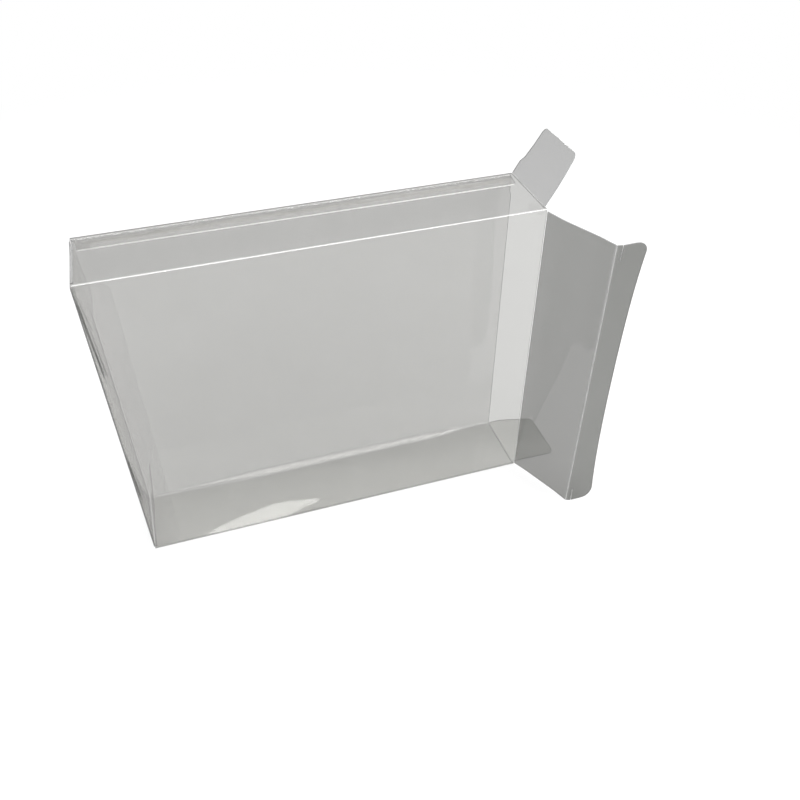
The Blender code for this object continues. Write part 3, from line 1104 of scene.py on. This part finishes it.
def crease_bead(name, start, end, body, material):
    obj = new_object(name, bpy.data.meshes.new(name))
    modifier = obj.modifiers.new("bead", "NODES")
    modifier.node_group = BEAD
    values = {"Start": start, "End": end, "Radius": BEAD_RADIUS, "Material": material}
    for item in BEAD.interface.items_tree:
        if item.in_out == "INPUT":
            modifier[item.identifier] = values[item.name]
    applied(obj)
    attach(obj, body)
    return obj


# %% [markdown]
# Each bead lies on its joint's axis, and stops short of the corners as the creases do.

# %% Beads of the main flaps and tabs
for name, hinge, top_gap, body, material in (
    ("bead_open_main", "open_end_flap_hinge", 1.3 * MM, "sleeve", light_crease),
    ("bead_open_tab", "open_end_tab_crease", 1.9 * MM, "open_end_main_flap", light_crease),
    ("bead_shut_main", "closed_end_flap_hinge", 1.3 * MM, "sleeve", shaded_crease),
    ("bead_shut_tab", "closed_end_tab_crease", 1.9 * MM, "closed_end_main_flap", shaded_crease),
):
    axis = hinge_place(hinge)
    low, high = 0.9 * MM, HEIGHT - top_gap
    crease_bead(name, (axis.x, axis.y, low), (axis.x, axis.y, high), body, material)

# %% Beads of the dust flaps
for name, hinge, back in (
    ("bead_open_top_dust", "open_end_top_dust_hinge", DEPTH / 2 - 0.3 * MM),
    ("bead_open_bottom_dust", "open_end_bottom_dust_hinge", DEPTH / 2 - 1.3 * MM),
):
    axis = hinge_place(hinge)
    front = -DEPTH / 2 + 2.1 * MM
    crease_bead(name, (axis.x, front, axis.z), (axis.x, back, axis.z), "sleeve", light_crease)

# %% [markdown]
# ## Glued seam
#
# A line of dried glue joins the top wall to the flap under it. Its width and its course wander,
# as a glue gun leaves them. A few sines of the step number give the same line on every run, which
# a random walk wouldn't.

# %% Glue line
GLUE_FROM_BACK = 4.9 * MM
GLUE_ENDS = 4 * MM  # between the line's ends and the box's
GLUE_CLEAR = 0.01 * MM  # from each film, so that no two faces lie in one plane
GLUE_STEPS = 150


def glue_line():
    low, high = GLUE_Z + FILM / 2 + GLUE_CLEAR, TOP_Z - FILM / 2 - GLUE_CLEAR
    bm = bmesh.new()
    last = None
    for step in range(GLUE_STEPS + 1):
        x = -HALF + GLUE_ENDS + (LENGTH - 2 * GLUE_ENDS) * step / GLUE_STEPS
        wander = 0.25 * math.sin(step * 0.31) + 0.15 * math.sin(step * 0.83 + 1)
        taper = min(1, 0.25 + min(step, GLUE_STEPS - step) / 4)
        half = (1.1 + 0.2 * math.sin(step * 0.47 + 2)) * MM * taper
        y = DEPTH / 2 - GLUE_FROM_BACK + wander * MM
        corners = ((y - half, low), (y + half, low), (y + half, high), (y - half, high))
        ring = [bm.verts.new((x, *corner)) for corner in corners]
        if last:
            for side in range(4):
                bm.faces.new((last[side], last[side - 1], ring[side - 1], ring[side]))
        if step in (0, GLUE_STEPS):
            bm.faces.new(ring)
        last = ring
    bmesh.ops.recalc_face_normals(bm, faces=bm.faces)
    mesh = bpy.data.meshes.new("glue_line")
    bm.to_mesh(mesh)
    bm.free()
    mesh.materials.append(glue)
    obj = new_object("glue_line", mesh)
    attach(obj, "sleeve")
    print("glue_line:", len(mesh.polygons), "faces")


glue_line()

# %% [markdown]
# ## Floor
#
# The floor is plain white to the camera, and keeps part of the shadow that falls near the box. A
# white lit floor would need so much light that the film would wash out. So a Mix Shader shows
# plain white to the rays that come from the camera, from a mirror or through film, and the matte
# floor to those that light the box. Near the box a quarter of the matte floor shows too.

# %% Floor
FLOOR_SHIFT = 1.0  # metres to the back, where more of the floor is seen
SHADOW_SHARE = 0.25
SHADOW_NEAR, SHADOW_FAR = 0.25, 0.6  # metres from the box's middle


def floor_material():
    shader = new_shader("floor")
    place = shader.place()
    tone = shader.colour_mix(shader.noise(place, 40.0), grey(0.88), grey(0.90))
    matte = shader.principled({"Base Color": tone, "Roughness": 0.9})
    white = shader.node("ShaderNodeEmission", {}, {"Color": grey(1), "Strength": 1.0})

    def is_ray(kind):
        return shader.node("ShaderNodeLightPath", {}, None, f"Is {kind} Ray")

    seen = (is_ray("Camera") + is_ray("Glossy") + is_ray("Transmission")).clamped()
    inputs = {0: place, 1: (0, -FLOOR_SHIFT, 0)}
    away = shader.node("ShaderNodeVectorMath", {"operation": "DISTANCE"}, inputs, "Value")
    share = away.between(SHADOW_NEAR, SHADOW_FAR) * SHADOW_SHARE + (1 - SHADOW_SHARE)
    return shader.finish(shader.mixed(seen * share, matte, white))


bpy.ops.mesh.primitive_plane_add(size=8, location=(0, FLOOR_SHIFT, -0.05 * MM))
floor = bpy.context.object
floor.name = "floor"
floor.data.materials.append(floor_material())
print("shadow kept:", SHADOW_SHARE)

# %% [markdown]
# ## Light
#
# Film shows mostly what it mirrors, so the lamps are large and soft, and stand where their
# mirror images should fall. One is in front, one hangs overhead, and a long low one behind gives
# the bottom wall its streaks. A weak wide sun evens the rest out.

# %% Lamps
def area_lamp(name, place, target, width, height, watts):
    data = bpy.data.lights.new(name, "AREA")
    data.shape = "RECTANGLE"
    data.size, data.size_y = width, height
    data.energy = watts
    lamp = new_object(name, data)
    lamp.location = place
    lamp.rotation_mode = "QUATERNION"
    lamp.rotation_quaternion = (Vector(place) - Vector(target)).to_track_quat("Z", "Y")
    return lamp


area_lamp("front_softbox", (0.29, -0.57, 0.86), (0.0, 0.0, 0.05), 1.4, 0.46, watts=14)
area_lamp("overhead_softbox", (0.10, 0.62, 1.20), (0.05, 0.2, 0.0), 1.2, 0.85, watts=4)
area_lamp("back_softbox", (0.25, 1.15, 0.26), (0.0, 0.0, 0.0), 1.6, 0.27, watts=15)
sun_data = bpy.data.lights.new("overhead_sun", "SUN")
sun_data.energy = 0.3
sun_data.angle = math.radians(30)
new_object("overhead_sun", sun_data)
print("lamps:", len(bpy.data.lights))

# %% [markdown]
# The sky is bright near the horizon and duller higher up, which is what the top wall mirrors. The
# camera itself sees plain white.

# %% Sky
def sky():
    world = bpy.data.worlds.new("sky")
    bpy.context.scene.world = world
    shader = Shader(world)
    direction = shader.node("ShaderNodeTexCoord", {}, None, "Generated")
    grade = shader.axis(direction, "Z").between(0.0, 0.55)
    colour = shader.colour_mix(grade, grey(0.95), (0.50, 0.50, 0.51, 1))
    light = shader.node("ShaderNodeBackground", {}, {"Color": colour, "Strength": 1.0})
    white = shader.node("ShaderNodeBackground", {}, {"Color": grey(1), "Strength": 1.0})
    camera_ray = shader.node("ShaderNodeLightPath", {}, None, "Is Camera Ray")
    shader.finish(shader.mixed(camera_ray, light, white), "ShaderNodeOutputWorld")


sky()

# %% [markdown]
# ## Camera
#
# The box's corners in the photograph fix where the camera stood, how it was turned and how wide
# it saw. Its three axes make a matrix, which keeps the small roll that aiming it at a point
# would lose.

# %% Camera
CAMERA_PLACE = (-0.0509, -0.2683, 0.29145)
LOOK = Vector((0.226, 0.716, -0.660))
UP = Vector((0.201, 0.629, 0.751))
camera_data = bpy.data.cameras.new("camera")
camera_data.sensor_width = 36
camera_data.lens = 35.73
camera_data.clip_start = 0.01
camera = new_object("camera", camera_data)
forward = LOOK.normalized()
right = forward.cross(UP).normalized()
turned = Matrix((right, right.cross(forward), -forward)).transposed().to_4x4()
camera.matrix_world = Matrix.Translation(CAMERA_PLACE) @ turned
bpy.context.scene.camera = camera
print(f"camera: {Vector(CAMERA_PLACE).length:.2f} m from the box's middle")

# %% [markdown]
# ## Render settings
#
# A ray can cross a dozen film faces here, so it may pass more clear ones than the usual eight.

# %% Render settings and the end
scene = bpy.context.scene
scene.view_settings.view_transform = "Standard"
scene.cycles.transparent_max_bounces = 48
scene.cycles.max_bounces = 16
